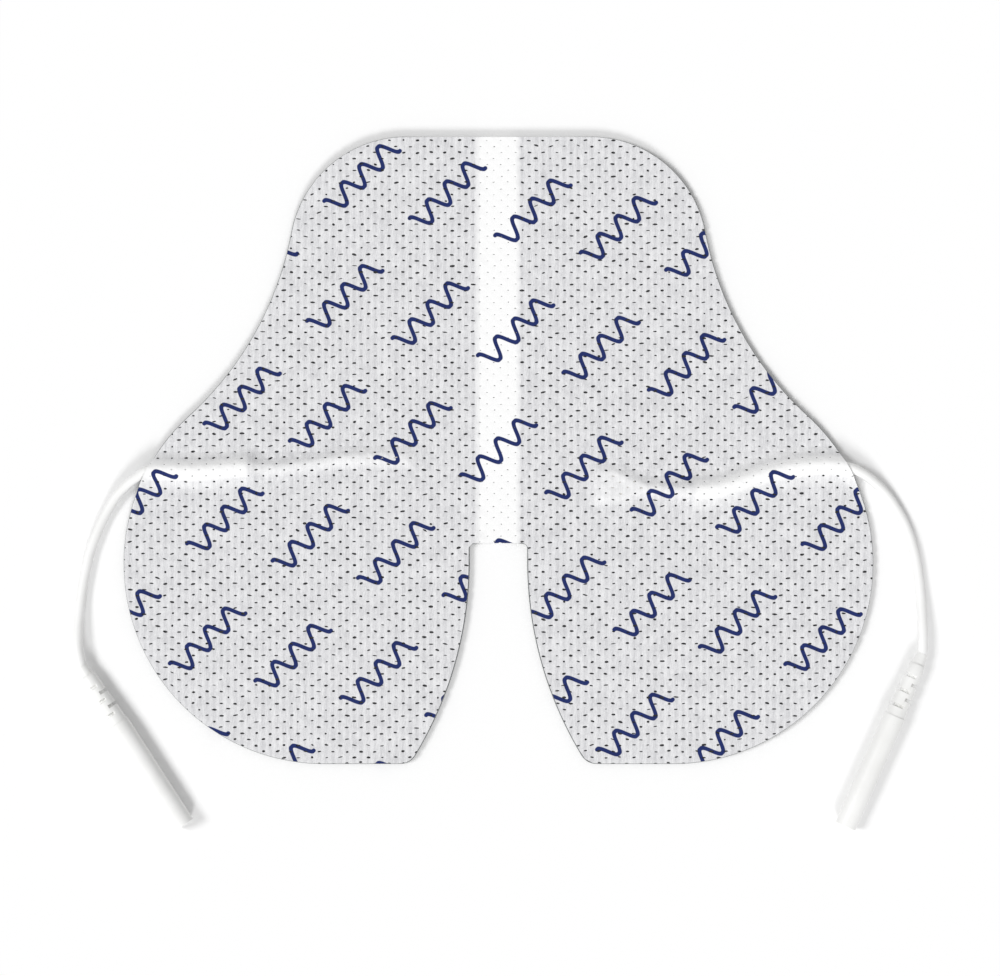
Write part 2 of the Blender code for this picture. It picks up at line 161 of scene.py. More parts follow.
# Each lead leaves the pad's edge at exit_y. Its routes are steps in x and y from there: buried runs
# inwards to the stripped end, bare follows the strands on from it, and free runs outwards.
LEADS = {
    "left": dict(
        sign=-1, exit_y=-4.0, fan_width=1.6, nose=(12.45, -37.55), heading=-57.2,
        buried=[(0.0, 0.0), (4.0, 0.1), (8.3, 0.05), (12.0, 0.15), (15.6, 0.45), (19.0, 0.7)],
        bare=[(21.5, 0.75), (24.0, 0.6), (28.6, 1.0), (33.5, 1.7), (37.5, 2.3), (43.0, 2.6),
              (49.0, 2.6)],
        free=[(1.7, -1.05), (3.6, -2.5), (5.65, -4.55), (7.25, -6.95), (8.55, -9.35),
              (9.7, -11.95), (10.65, -14.45), (11.4, -17.05), (12.55, -22.95), (13.15, -28.75),
              (13.25, -32.6), (13.05, -34.85)],
    ),
    "right": dict(
        sign=1, exit_y=-3.3, fan_width=5.6, nose=(14.25, -35.9), heading=-114.1,
        buried=[(0.0, 0.0), (4.0, 0.45), (9.8, 0.0), (14.6, -0.9), (19.4, -2.4), (24.3, -3.9),
                (29.1, -4.5)],
        bare=[(31.5, -4.55), (34.0, -4.3), (38.8, -3.9), (43.0, -3.6), (46.5, -3.4)],
        free=[(2.2, -0.9), (4.35, -2.3), (6.95, -4.7), (9.05, -7.45), (10.9, -10.7),
              (12.45, -14.9), (13.4, -19.4), (14.0, -24.2), (14.25, -27.95), (14.35, -30.95),
              (14.35, -33.35)],
    ),
}

# Printed waves on the cover
WAVE_LENGTH = 4.9
WAVE_HEIGHT = 1.75
WAVE_STROKE = 0.80
WAVE_HALF = 1.75
WAVE_ROWS = 14.0
WAVE_GAP = 28.0
WAVE_SHIFT = 9.3
WAVE_TURN = 45.0

# View and light
CAMERA_PLACE = (0.3, -7.28, 537.1)
LENS = 100
KEY_TILT = 39.0
SECOND_TILT = 50.0
KEY_SHARE = 0.31
SECOND_SHARE = 0.25
SKY_SHARE = 0.44
SUN_SPREAD = 20.0
FLOOR_SIZE = 4000.0
FLOOR_DROP = 0.02


# Curves and outlines

def arc(centre, radius, start, end):
    """The centre plus the radius along even steps of the angle, in degrees, both ends included."""
    chords = math.ceil(radius * abs(math.radians(end - start)) / ARC_CHORD)
    turns = np.radians(np.linspace(start, end, max(3, chords + 1)))
    return np.array(centre) + radius * np.column_stack([np.cos(turns), np.sin(turns)])


def angle_of(start, end):
    return math.degrees(math.atan2(end[1] - start[1], end[0] - start[0]))


def half_outline():
    """The right half's edge, clockwise from the top middle to the top of the notch: arcs that touch."""
    half_height = PAD_HEIGHT / 2
    shoulder = np.array((TOP_FLAT / 2, half_height - SHOULDER_RADIUS))
    lobe = np.array((PAD_WIDTH / 2 - LOBE_RADIUS, LOBE_RADIUS - half_height))
    to_shoulder = SHOULDER_RADIUS + WAIST_RADIUS
    to_lobe = LOBE_RADIUS + WAIST_RADIUS
    span = math.dist(shoulder, lobe)
    along = (to_shoulder ** 2 - to_lobe ** 2 + span ** 2) / (2 * span)
    aside = math.sqrt(to_shoulder ** 2 - along ** 2)
    ux, uy = (lobe - shoulder) / span
    waist = shoulder + along * np.array((ux, uy)) + aside * np.array((-uy, ux))

    side = NOTCH_WIDTH / 2
    flare = (side + NOTCH_FLARE_RADIUS, NOTCH_TOP - NOTCH_STRAIGHT)
    tip_y = TIP_RADIUS - half_height
    reach = NOTCH_FLARE_RADIUS - TIP_RADIUS
    tip = (flare[0] - math.sqrt(reach ** 2 - (flare[1] - tip_y) ** 2), tip_y)
    tip_turn = angle_of(flare, tip) % 360
    corner = (side - NOTCH_CORNER_RADIUS, NOTCH_TOP - NOTCH_CORNER_RADIUS)
    points = np.concatenate([
        [(0.0, half_height)],
        arc(shoulder, SHOULDER_RADIUS, 90, angle_of(shoulder, waist)),
        arc(waist, WAIST_RADIUS, angle_of(waist, shoulder) % 360, angle_of(waist, lobe) % 360),
        arc(lobe, LOBE_RADIUS, angle_of(lobe, waist), -90),
        arc(tip, TIP_RADIUS, 270, tip_turn),
        arc(flare, NOTCH_FLARE_RADIUS, tip_turn, 180),
        arc(corner, NOTCH_CORNER_RADIUS, 0, 90),
        [(0.0, NOTCH_TOP)],
    ])
    steps = np.hypot(*np.diff(points, axis=0).T)
    return points[np.concatenate([[True], steps > 1e-4])]


OUTLINE = half_outline()


def edge_x(y):
    """How far from the middle line the pad's outer edge is at this height."""
    (x0, y0), (x1, y1) = OUTLINE[:-1].T, OUTLINE[1:].T
    cross = (y0 - y) * (y1 - y) <= 0
    cross &= y0 != y1
    return np.max((x0 + (x1 - x0) * (y - y0) / np.where(y0 == y1, 1, y1 - y0))[cross])


def inside_by(points):
    """For each point: its distance to the outline, above 0 inside, and the outline's nearest point.
    Both halves are alike, so the sign of x is put back at the end."""
    folded = np.column_stack([np.abs(points[:, 0]), points[:, 1]])
    best = np.full(len(points), np.inf)
    nearest = np.zeros_like(folded)
    crossings = np.zeros(len(points), dtype=int)
    for start, end in zip(OUTLINE, OUTLINE[1:]):
        edge = end - start
        share = np.clip((folded - start) @ edge / (edge @ edge), 0, 1)
        place = start + share[:, None] * edge
        gap = np.hypot(*(folded - place).T)
        closer = gap < best
        best[closer] = gap[closer]
        nearest[closer] = place[closer]
        if start[1] != end[1]:
            spans = (start[1] > folded[:, 1]) != (end[1] > folded[:, 1])
            at = start[0] + (folded[:, 1] - start[1]) * edge[0] / edge[1]
            crossings += spans & (folded[:, 0] < at)
    nearest[:, 0] *= np.where(points[:, 0] < 0, -1, 1)
    return np.where(crossings % 2 == 1, best, -best), nearest


def distances(route):
    return np.concatenate([[0.0], np.cumsum(np.linalg.norm(np.diff(route, axis=0), axis=1))])


def smooth_route(points, spacing, heading=None):
    """A Catmull-Rom curve through the points, read at even steps. It can end on a heading."""
    points = np.array(points, dtype=float)
    before = 2 * points[0] - points[1]
    after = 2 * points[-1] - points[-2]
    if heading is not None:
        after = points[-2] + np.array(heading) * 2 * math.dist(points[-2], points[-1])
    a, b, c, d = (np.concatenate([[before], points, [after]])[i:len(points) - 1 + i, None]
                  for i in range(4))
    t = np.arange(24)[None, :, None] / 24
    fine = 0.5 * (2 * b + (c - a) * t + (2 * a - 5 * b + 4 * c - d) * t ** 2
                  + (3 * b - a - 3 * c + d) * t ** 3)
    fine = np.concatenate([fine.reshape(-1, 2), points[-1:]])
    gone = distances(fine)
    wanted = np.linspace(0, gone[-1], max(2, round(gone[-1] / spacing)) + 1)
    return np.column_stack([np.interp(wanted, gone, fine[:, i]) for i in range(2)])


def eased(share):
    """0 up to 0, 1 from 1 on, and 3s² - 2s³ between."""
    share = np.clip(share, 0, 1)
    return share * share * (3 - 2 * share)


def along_route(points, route):
    """For each point: how far along the route its nearest place is, and its distance from there."""
    best = np.full(len(points), np.inf)
    gone = np.zeros(len(points))
    for start, end, passed in zip(route, route[1:], distances(route)):
        step = end - start
        share = np.clip((points - start) @ step / (step @ step), 0, 1)
        gap = np.hypot(*(points - start - share[:, None] * step).T)
        closer = gap < best
        best[closer] = gap[closer]
        gone[closer] = passed + share[closer] * math.hypot(*step)
    return gone, best


# Meshes

def new_piece(name, points, faces, finish, sharp=35):
    """A closed mesh in metres, turned to face outwards: its volume, the sum of each face's fan of
    tetrahedra to the origin, has to come out above 0."""
    points = np.asarray(points)
    volume = 0.0
    for face in faces:
        corners = points[np.array(face)]
        fan = np.cross(corners[:, 1:-1], corners[:, 2:])
        volume += np.sum(corners[:, :1] * fan)
    if volume < 0:
        faces = [np.array(face)[:, ::-1] for face in faces]
    mesh = bpy.data.meshes.new(name)
    mesh.from_pydata((points * MM).tolist(), [], [row for face in faces for row in face.tolist()])
    mesh.validate()
    mesh.shade_smooth()
    mesh.set_sharp_from_angle(angle=math.radians(sharp))
    mesh.materials.append(finish)
    piece = bpy.data.objects.new(name, mesh)
    bpy.context.scene.collection.objects.link(piece)
    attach(piece, "root")
    return piece


def skin_faces(rings, points_round):
    """The quads between rings of as many points each, and one flat face over each end."""
    first = np.arange(rings - 1)[:, None] * points_round
    here = np.arange(points_round)[None, :]
    after = (here + 1) % points_round
    corners = [first + here, first + after, first + points_round + after,
               first + points_round + here]
    sides = np.stack([corner.ravel() for corner in corners], axis=1)
    end = np.arange(points_round)
    return [sides, end[None, ::-1], end[None, :] + (rings - 1) * points_round]


def tube_points(path, radii, sides):
    """Circles carried along a path: each path point plus the radius times cos t to its left and
    sin t upwards, square to the path."""
    ahead = np.gradient(path, axis=0)
    ahead /= np.linalg.norm(ahead, axis=1)[:, None]
    left = np.cross((0, 0, 1), ahead)
    left /= np.linalg.norm(left, axis=1)[:, None]
    up = np.cross(ahead, left)
    turns = 2 * math.pi * np.arange(sides) / sides
    circle = (np.cos(turns)[None, :, None] * left[:, None] + np.sin(turns)[None, :, None] * up[:, None])
    return (path[:, None] + np.asarray(radii)[:, None, None] * circle).reshape(-1, 3)


# Shader maths

class Value:
    """A number or vector that varies over a surface. Arithmetic on it adds Math nodes."""

    def __init__(self, finish, socket):
        self.finish = finish
        self.socket = socket

    def maths(self, operation, *numbers):
        sockets = dict(enumerate(numbers))
        return self.finish.node("ShaderNodeMath", {"operation": operation}, sockets)

    def __add__(self, other):
        return self.maths("ADD", self, other)

    def __radd__(self, other):
        return self.maths("ADD", other, self)

    def __sub__(self, other):
        return self.maths("SUBTRACT", self, other)

    def __rsub__(self, other):
        return self.maths("SUBTRACT", other, self)

    def __mul__(self, other):
        return self.maths("MULTIPLY", self, other)

    def __rmul__(self, other):
        return self.maths("MULTIPLY", other, self)

    def __truediv__(self, other):
        return self.maths("DIVIDE", self, other)

    def absolute(self):
        return self.maths("ABSOLUTE", self)

    def floor(self):
        return self.maths("FLOOR", self)

    def sign(self):
        return self.maths("SIGN", self)

    def sine(self):
        return self.maths("SINE", self)

    def cosine(self):
        return self.maths("COSINE", self)

    def root(self):
        return self.maths("SQRT", self)

    def larger(self, other):
        return self.maths("MAXIMUM", self, other)

    def above(self, edge, soft):
        """0 below the edge and 1 above it, easing over the soft width."""
        sockets = {0: self, 1: edge - soft, 2: edge + soft, 3: 0.0, 4: 1.0}
        return self.finish.node("ShaderNodeMapRange", {"interpolation_type": "SMOOTHSTEP"}, sockets)


class Finish:
    """A material's node tree. Places are Object coordinates in millimetres."""

    def __init__(self, name, constants):
        self.material = bpy.data.materials.new(name)
        self.material.use_nodes = True
        self.tree = self.material.node_tree
        self.shader = self.tree.nodes["Principled BSDF"]
        for socket, value in constants.items():
            self.shader.inputs[socket].default_value = value

    def node(self, kind, settings, sockets, output=0):
        """Adds a node: its settings first, then its sockets' values or links."""
        node = self.tree.nodes.new(kind)
        for key, value in settings.items():
            setattr(node, key, value)
        for key, value in sockets.items():
            self.feed(node.inputs[key], value)
        return Value(self, node.outputs[output])

    def feed(self, socket, value):
        if isinstance(value, Value):
            self.tree.links.new(value.socket, socket)
        else:
            socket.default_value = value

    def place(self):
        """The Object coordinates as three numbers in millimetres."""
        at = self.node("ShaderNodeTexCoord", {}, {}, "Object")
        return [self.node("ShaderNodeSeparateXYZ", {}, {0: at}, axis) / MM for axis in range(3)]

    def noise(self, x, y, z=0.0, detail=2.0, rough=0.5):
        """Noise from about 0 to 1 whose lumps are about one unit of x, y and z across."""
        place = self.node("ShaderNodeCombineXYZ", {}, {0: x, 1: y, 2: z})
        sockets = {"Vector": place, "Scale": 1.0, "Detail": detail, "Roughness": rough}
        return self.node("ShaderNodeTexNoise", {}, sockets)

    def mix(self, share, first, second):
        colours = [colour if isinstance(colour, Value) else (*colour, 1) for colour in (first, second)]
        sockets = {0: share, 6: colours[0], 7: colours[1]}
        return self.node("ShaderNodeMix", {"data_type": "RGBA"}, sockets, 2)

    def attribute(self, name):
        return self.node("ShaderNodeAttribute", {"attribute_name": name}, {}, "Fac")

    def paint(self, colour, roughness, height, depth, strength):
        """Feeds the shader. The height is in units of depth, in millimetres."""
        self.feed(self.shader.inputs["Base Color"], colour)
        self.feed(self.shader.inputs["Roughness"], roughness)
        sockets = {"Strength": strength, "Distance": depth * MM, "Height": height}
        self.feed(self.shader.inputs["Normal"], self.node("ShaderNodeBump", {}, sockets))
        return self.material


def turned(x, y, degrees):
    """x and y read in axes turned by an angle."""
    turn = math.radians(degrees)
    return (x * math.cos(turn) + y * math.sin(turn), y * math.cos(turn) - x * math.sin(turn))


# Finishes

def fibres(finish, x, y, degrees, across, along):
    """Streaks of fibre: noise stretched along one direction."""
    u, v = turned(x, y, degrees)
    return finish.noise(u / along, v / across, detail=3.0, rough=0.6)


def printed_waves(finish, x, y):
    """1 on the print. In each cell of turned rows, a point's height off a sine wave is divided by the
    wave's own slope to give a distance, and past the wave's ends it is the distance to the end."""
    u, v = turned(x, y, WAVE_TURN)
    row = (v / WAVE_ROWS + 0.5).floor()
    v = v - row * WAVE_ROWS
    u = u + row * WAVE_SHIFT
    u = u - (u / WAVE_GAP + 0.5).floor() * WAVE_GAP
    phase = u * (2 * math.pi / WAVE_LENGTH)
    slope = phase.cosine() * (WAVE_HEIGHT * 2 * math.pi / WAVE_LENGTH)
    off_wave = (v - phase.sine() * WAVE_HEIGHT).absolute() / (slope * slope + 1).root()
    past_end = (u.absolute() - WAVE_HALF * WAVE_LENGTH).larger(0.0)
    off_crest = v * u.sign() + WAVE_HEIGHT
    off_end = (past_end * past_end + off_crest * off_crest).root()
    beyond = past_end.above(0.01, 0.01)
    off = off_wave + beyond * (off_end - off_wave)
    return 1 - off.above(WAVE_STROKE / 2, 0.05)


def fabric_finish():
    """Fibres laid three ways under faint columns between the holes, white where something white lies
    behind, lightened by painted light on the shaded flanks of the ridges over the leads, and printed
    in blue that the thickest fibres thin."""
    finish = Finish("white_nonwoven_fabric", {})
    x, y, _ = finish.place()
    mesh_way = fibres(finish, x, y, 86, 0.16, 1.6)
    cross_way = fibres(finish, x, y, 31, 0.13, 0.9)
    back_way = fibres(finish, x, y, 148, 0.13, 0.9)
    clouds = finish.noise(x / 2.6, y / 3.6, detail=3.0)
    web = mesh_way * 0.5 + cross_way * 0.25 + back_way * 0.25
    columns = ((x - FIRST_HOLE[0]) * (4 * math.pi / PITCH)).cosine()
    white = finish.attribute("backing_white_and_flank_light")
    tone = ((web - 0.5) * 3.4 + (clouds - 0.5) * 0.8 - columns * 0.12 + 0.5).above(0.5, 0.55)
    plain = finish.mix(tone, (0.60, 0.60, 0.618), (0.875, 0.875, 0.888))
    # Whitened where white lies behind, and painted light on the ridges' shaded flanks
    backed_and_flank_lit = finish.mix(white, plain, (0.985, 0.985, 0.985))
    ink = printed_waves(finish, x, y)
    bare = web.above(0.66, 0.05) * 0.3
    blue = finish.mix(clouds, (0.002, 0.009, 0.080), (0.006, 0.022, 0.145))
    return finish.paint(finish.mix(ink * (1 - bare), backed_and_flank_lit, blue), 0.86 + 0.1 * web, web, 0.06, 0.6)


def film_finish(name, dark, light, roughness):
    """Thin cast film: faint streaks the way it was drawn, and a slightly uneven satin."""
    finish = Finish(name, {})
    x, y, z = finish.place()
    drawn = finish.noise(x / 0.5, y / 8.0, z, detail=3.0)
    grain = finish.noise(x / 0.12, y / 0.12, z, detail=2.0)
    colour = finish.mix(drawn, dark, light)
    return finish.paint(colour, roughness + 0.12 * (drawn - 0.5), grain, 0.01, 0.5)


def gel_finish():
    """Sticky gel on a fine scrim: threads crossing every 1.5 mm under a wet, slightly uneven skin."""
    finish = Finish("clear_grey_hydrogel", {"Coat Weight": 0.6, "Coat Roughness": 0.05, "IOR": 1.4})
    x, y, z = finish.place()
    sway = finish.noise(x / 6.0, y / 6.0, z)
    threads = []
    for axis in (x, y):
        wave = ((axis + sway * 0.5) * (math.pi / 1.5)).sine().absolute()
        threads.append(1 - wave.above(0.16, 0.12))
    scrim = threads[0].larger(threads[1])
    bubbles = finish.noise(x / 0.7, y / 0.7, z, detail=1.0).above(0.72, 0.03)
    deep = finish.mix(sway, (0.075, 0.085, 0.085), (0.115, 0.125, 0.125))
    threaded = finish.mix(scrim * 0.55, deep, (0.20, 0.215, 0.215))
    colour = finish.mix(bubbles * 0.5, threaded, (0.25, 0.26, 0.26))
    height = scrim * 0.5 + bubbles * 0.3 + finish.noise(x / 2.2, y / 2.2, z) * 0.8
    return finish.paint(colour, 0.10 + 0.12 * sway, height, 0.08, 0.6)


def plastic_finish(name, base, shade, roughness):
    """Soft white plastic: a faint orange-peel skin, cloudy satin and a little handling grime."""
    finish = Finish(name, {"IOR": 1.5, "Specular IOR Level": 0.25})
    x, y, z = finish.place()
    cloudy = finish.noise(x / 5.0, y / 5.0, z / 5.0, detail=3.0)
    peel = finish.noise(x / 0.22, y / 0.22, z / 0.22, detail=2.0)
    specks = finish.noise(x / 0.5, y / 0.5, z / 0.5, detail=1.0).above(0.74, 0.03)
    tone = finish.mix(cloudy.above(0.5, 0.25), shade, base)
    colour = finish.mix(specks * 0.2, tone, tuple(0.8 * value for value in shade))
    return finish.paint(colour, roughness + 0.14 * (cloudy - 0.5), peel, 0.012, 0.5)


def metal_finish(name, dark, light, roughness, across, along):
    """Drawn or turned metal: fine lines that vary the colour and the gloss."""
    finish = Finish(name, {"Metallic": 1.0})
    x, y, z = finish.place()
    lines = finish.noise(x / along, y / across, z / across, detail=3.0)
    tarnish = finish.noise(x / 2.5, y / 2.5, z / 2.5)
    return finish.paint(finish.mix(lines * 0.6 + tarnish * 0.4, dark, light),
                        roughness + 0.16 * (lines - 0.5), lines, 0.01, 0.4)


# Camera

def add_camera():
    """Straight down over the pad, as the photograph is taken."""
    data = bpy.data.cameras.new("camera")
    data.lens = LENS
    data.clip_end = 10.0
    camera = bpy.data.objects.new("camera", data)
    camera.location = [value * MM for value in CAMERA_PLACE]
    bpy.context.scene.collection.objects.link(camera)
    bpy.context.scene.camera = camera


# Leads

def lead_places(side):
    """A lead's chosen points, from steps off the pad's edge to places on the pad."""
    lead = LEADS[side]
    sign, exit_y = lead["sign"], lead["exit_y"]
    inwards = np.array((-sign, 1))
    outwards = np.array((sign, 1))
    start = np.array((sign * edge_x(exit_y), exit_y))
    return {
        "inside": start + np.array(lead["buried"]) * inwards,
        "strands": start + np.array(lead["bare"]) * inwards,
        "outside": start + np.array(lead["free"]) * outwards,
        "nose": start + np.array(lead["nose"]) * outwards,
    }


def wire_path(side):
    """The wire's middle line: level under the cover, eased down to the table past the pad's edge, and
    eased up to the connector's axis at its end."""
    places = lead_places(side)
    turn = math.radians(LEADS[side]["heading"])
    ahead = np.array((math.cos(turn), math.sin(turn)))
    end = places["nose"] + ahead * WIRE_GRIP
    chosen = np.concatenate([places["inside"][::-1], places["outside"], [end]])
    flat = smooth_route(chosen, WIRE_STEP, ahead)
    gone = distances(flat)
    leaves = gone[np.argmin(np.hypot(*(flat - places["inside"][0]).T))]
    z = BURIED_Z + (LYING_Z - BURIED_Z) * eased((gone - leaves) / EXIT_DROP)
    z += (CONNECTOR_Z - z) * eased(1 - (gone[-1] - WIRE_DIAMETER - gone) / EXIT_DROP)
    return np.column_stack([flat, z])


def add_wire(side, finish):
    """Insulated wire: a round tube with slightly rounded cut ends."""
    path = wire_path(side)
    radii = np.full(len(path), WIRE_RADIUS)
    radii[[0, -1]] = WIRE_RADIUS * 0.85
    wire = new_piece(side + "_wire_insulation", tube_points(path, radii, WIRE_SIDES),
                     skin_faces(len(path), WIRE_SIDES), finish)
    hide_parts(side + "_lead_wire")
    exit_point = [*(lead_places(side)["inside"][0] * MM), BURIED_Z * MM]


# Connectors

def slot_depth(x, turns):
    """How far into the strain relief a point lies, 0 to 1: soft-edged bands along x, each over part
    of the turn, on one side and the other in turn."""
    depth = np.zeros(np.broadcast(x, turns).shape)
    for slot in range(SLOT_COUNT):
        at = NOSE_LENGTH + SLOT_FIRST + SLOT_PITCH * slot
        facing = SLOT_FACING + 180 * (slot % 2)
        away = np.abs((turns - facing + 180) % 360 - 180)
        band = eased((SLOT_WIDTH / 2 - np.abs(x - at)) / SLOT_EDGE + 0.5)
        depth = np.maximum(depth, band * eased((SLOT_SWEEP / 2 - away) / 5 + 0.5))
    return depth


def connector_profile():
    """(x, radius) rows from the nose to the bottom of the bore. The relief has rows at both walls of
    each slot, and the mouth is a rounded ring."""
    relief = [NOSE_LENGTH + 0.08, RELIEF_END - 0.08]
    for slot in range(SLOT_COUNT):
        at = NOSE_LENGTH + SLOT_FIRST + SLOT_PITCH * slot
        for wall in (-1, 1):
            relief += [at + wall * (SLOT_WIDTH / 2 + step) for step in (-0.06, -0.03, 0, 0.03, 0.06)]
        relief.append(at)
    relief = np.sort(relief)
    slope = (RELIEF_END_DIAMETER - RELIEF_START_DIAMETER) / 2 / RELIEF_LENGTH
    cone = RELIEF_START_DIAMETER / 2 + slope * (relief - NOSE_LENGTH)
    nose, body, bore = NOSE_END_DIAMETER / 2, BODY_DIAMETER / 2, BORE_DIAMETER / 2
    tip, relief_start, relief_end = (
        across / 2 for across in (NOSE_TIP_DIAMETER, RELIEF_START_DIAMETER, RELIEF_END_DIAMETER))
    end = CONNECTOR_LENGTH
    lip = body - 0.2
    rows = [
        (0.0, WIRE_RADIUS * 0.9), (0.0, tip - 0.08), (0.03, tip - 0.02), (0.1, tip),
        (NOSE_LENGTH - 0.12, nose), (NOSE_LENGTH, nose + 0.04),
        (NOSE_LENGTH, relief_start - 0.08), (NOSE_LENGTH + 0.03, relief_start - 0.02),
        *zip(relief, cone),
        (RELIEF_END, relief_end + 0.02), (RELIEF_END + 0.03, body - 0.06),
        (RELIEF_END + 0.12, body - 0.015), (RELIEF_END + 0.25, body), (RELIEF_END + 8, body),
        (end - 8, body), (end - 0.22, body), (end - 0.1, body - 0.03), (end - 0.03, body - 0.1),
        (end, lip), (end, bore + 0.1), (end - 0.03, bore + 0.03), (end - 0.1, bore),
        (end - BORE_DEPTH, bore), (end - BORE_DEPTH, bore * 0.3),
    ]
    return np.array(rows)


def add_connector(side, finish):
    """Moulded connector: the profile's radius turned about its axis, less the slots' depth."""
    profile = connector_profile()
    edges = [SLOT_FACING + half * SLOT_SWEEP / 2 + step for half in (-1, 1) for step in (-2.5, 0, 2.5)]
    edges += [edge + 180 for edge in edges]
    even = np.arange(0, 360, CONNECTOR_TURN)
    turns = np.unique(np.round(np.concatenate([even, np.mod(edges, 360)]), 3))
    x = profile[:, :1] + 0 * turns
    radius = profile[:, 1:] + 0 * turns
    on_relief = (x > NOSE_LENGTH + 0.05) & (x < RELIEF_END - 0.05)
    depth = slot_depth(x, turns) * on_relief
    radius = radius + depth * (RELIEF_CORE_DIAMETER / 2 - radius)
    angle = np.radians(turns)
    heading = math.radians(LEADS[side]["heading"])
    ahead = np.array((math.cos(heading), math.sin(heading), 0))
    left = np.array((-ahead[1], ahead[0], 0))
    nose = np.array((*lead_places(side)["nose"], CONNECTOR_Z))
    points = (nose + x[..., None] * ahead + (radius * np.cos(angle))[..., None] * left
              + (radius * np.sin(angle))[..., None] * np.array((0, 0, 1)))
    body = new_piece(side + "_connector_moulding", points.reshape(-1, 3),
                     skin_faces(len(profile), len(turns)), finish, 40)
    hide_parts(side + "_connector_body")
    return body


# Cover

def cover_cells():
    """The perforated web: diamond cells that share corners, each with an oval hole in its middle.
    A cell with key (a, j) lies at (a/2 pitches, j rows), where a + j is even, and its corners are the
    four odd keys next to it. Returns the points, their dip, and twelve triangles a cell."""
    reach = (math.ceil(PAD_WIDTH / PITCH) + 3, math.ceil(PAD_HEIGHT / 2 / ROW) + 3)
    a, j = np.meshgrid(np.arange(-reach[0], reach[0] + 1), np.arange(-reach[1], reach[1] + 1))
    even = (a + j) % 2 == 0
    cells = np.column_stack([a[even], j[even]])
    spacing = np.array((PITCH / 2, ROW))

    around = (cells[:, None] + np.array([(1, 0), (0, 1), (-1, 0), (0, -1)])).reshape(-1, 2)
    keys, corner = np.unique(around, axis=0, return_inverse=True)
    corner = corner.reshape(-1, 4)
    corners = keys * spacing + FIRST_HOLE + chance.normal(0, CORNER_SPREAD, keys.shape)

    count = len(cells)
    size = np.clip(chance.normal(HOLE_SIZE, SIZE_SPREAD, (count, 2)), *SIZE_LIMITS)
    tilt = np.radians(chance.normal(0, HOLE_TILT, count))[:, None]
    turn = 2 * math.pi * np.arange(RIM_POINTS) / RIM_POINTS
    wobble = chance.normal(1, RIM_WOBBLE, (count, RIM_POINTS))
    middles = cells * spacing + FIRST_HOLE + chance.normal(0, HOLE_SPREAD, (count, 2))
    # Holes shrink where the cover is whitened: over white backing, and where painted light lies on the
    # ridge flanks
    white = whiteness(middles, [core_under(side, middles) for side in LEADS])
    size *= 1 - (1 - HOLE_ON_WHITE) * white[:, None]
    long = HOLE_LONG * size[:, :1] * np.cos(turn) * wobble
    short = HOLE_SHORT * size[:, 1:] * np.sin(turn) * wobble
    rims = np.stack([long * np.cos(tilt) - short * np.sin(tilt),
                     long * np.sin(tilt) + short * np.cos(tilt)], axis=-1)
    rims = (rims + middles[:, None]).reshape(-1, 2)

    rim = len(corners) + RIM_POINTS * np.arange(count)[:, None] + np.arange(RIM_POINTS)
    triangles = []
    for k in range(4):
        outer, onward = corner[:, k], corner[:, (k + 1) % 4]
        before, level, after = rim[:, 2 * k - 1], rim[:, 2 * k], rim[:, 2 * k + 1]
        for three in ((outer, after, level), (outer, level, before), (outer, onward, after)):
            triangles.append(np.column_stack(three))
    dip = np.concatenate([np.zeros(len(corners)), np.full(len(rims), RIM_DIP)])
    return np.concatenate([corners, rims]), dip, np.concatenate(triangles)


def split_where(near, points, dip, triangles):
    """Halves each edge whose two ends are marked, so that a triangle stays, halves or becomes four."""
    ends = np.sort(np.stack([triangles, np.roll(triangles, -1, axis=1)], axis=-1), axis=-1)
    marked = near[ends].all(axis=-1)
    keys, which = np.unique(ends[marked], axis=0, return_inverse=True)
    middle = np.full(triangles.shape, -1)
    middle[marked] = len(points) + which.ravel()
    points = np.concatenate([points, points[keys].mean(axis=1)])
    dip = np.concatenate([dip, dip[keys].mean(axis=1)])

    count = marked.sum(axis=1)
    one = count == 1
    order = (np.argmax(marked[one], axis=1)[:, None] + np.arange(3)) % 3
    a, b, c = np.take_along_axis(triangles[one], order, axis=1).T
    m = middle[one].max(axis=1)
    p, q, r = triangles[count == 3].T
    pq, qr, rp = middle[count == 3].T
    parts = [(a, m, c), (m, b, c), (p, pq, rp), (pq, q, qr), (rp, qr, r), (pq, qr, rp)]
    return points, dip, np.concatenate([triangles[count == 0]] + [np.column_stack(t) for t in parts])


def cut_to_outline(points, dip, triangles):
    """Trims the web. Points close to the outline move onto it, apart from the holes' rims, so that no
    hole pinches the edge to nothing. Walking round each triangle, what is kept is its points inside or
    on the outline and a cut point wherever an edge crosses it, which leaves three or four."""
    depth, nearest = inside_by(points)
    on_edge = (np.abs(depth) < EDGE_SNAP) & (dip == 0)
    points = np.where(on_edge[:, None], nearest, points)
    depth = np.where(on_edge, 0.0, depth)
    side = np.sign(depth)
    triangles = triangles[(side[triangles] > 0).any(axis=1)]

    ends = np.sort(np.stack([triangles, np.roll(triangles, -1, axis=1)], axis=-1), axis=-1)
    crossing = side[ends].prod(axis=-1) < 0
    keys, which = np.unique(ends[crossing], axis=0, return_inverse=True)
    share = depth[keys[:, 0]] / (depth[keys[:, 0]] - depth[keys[:, 1]])
    cut = np.full(triangles.shape, -1)
    cut[crossing] = len(points) + which.ravel()
    walk = np.stack([np.where(side[triangles] >= 0, triangles, -1), cut], axis=-1).reshape(-1, 6)
    kept = (walk >= 0).sum(axis=1)
    three = walk[kept == 3]
    four = walk[kept == 4]
    three = three[three >= 0].reshape(-1, 3)
    four = four[four >= 0].reshape(-1, 4)
    first, second = points[keys[:, 0]], points[keys[:, 1]]
    points = np.concatenate([points, first + share[:, None] * (second - first)])
    dip = np.concatenate([dip, dip[keys[:, 0]] + share * (dip[keys[:, 1]] - dip[keys[:, 0]])])
    triangles = np.concatenate([three, four[:, :3], four[:, [0, 2, 3]]])

    used, triangles = np.unique(triangles, return_inverse=True)
    return points[used], dip[used], triangles.reshape(-1, 3)


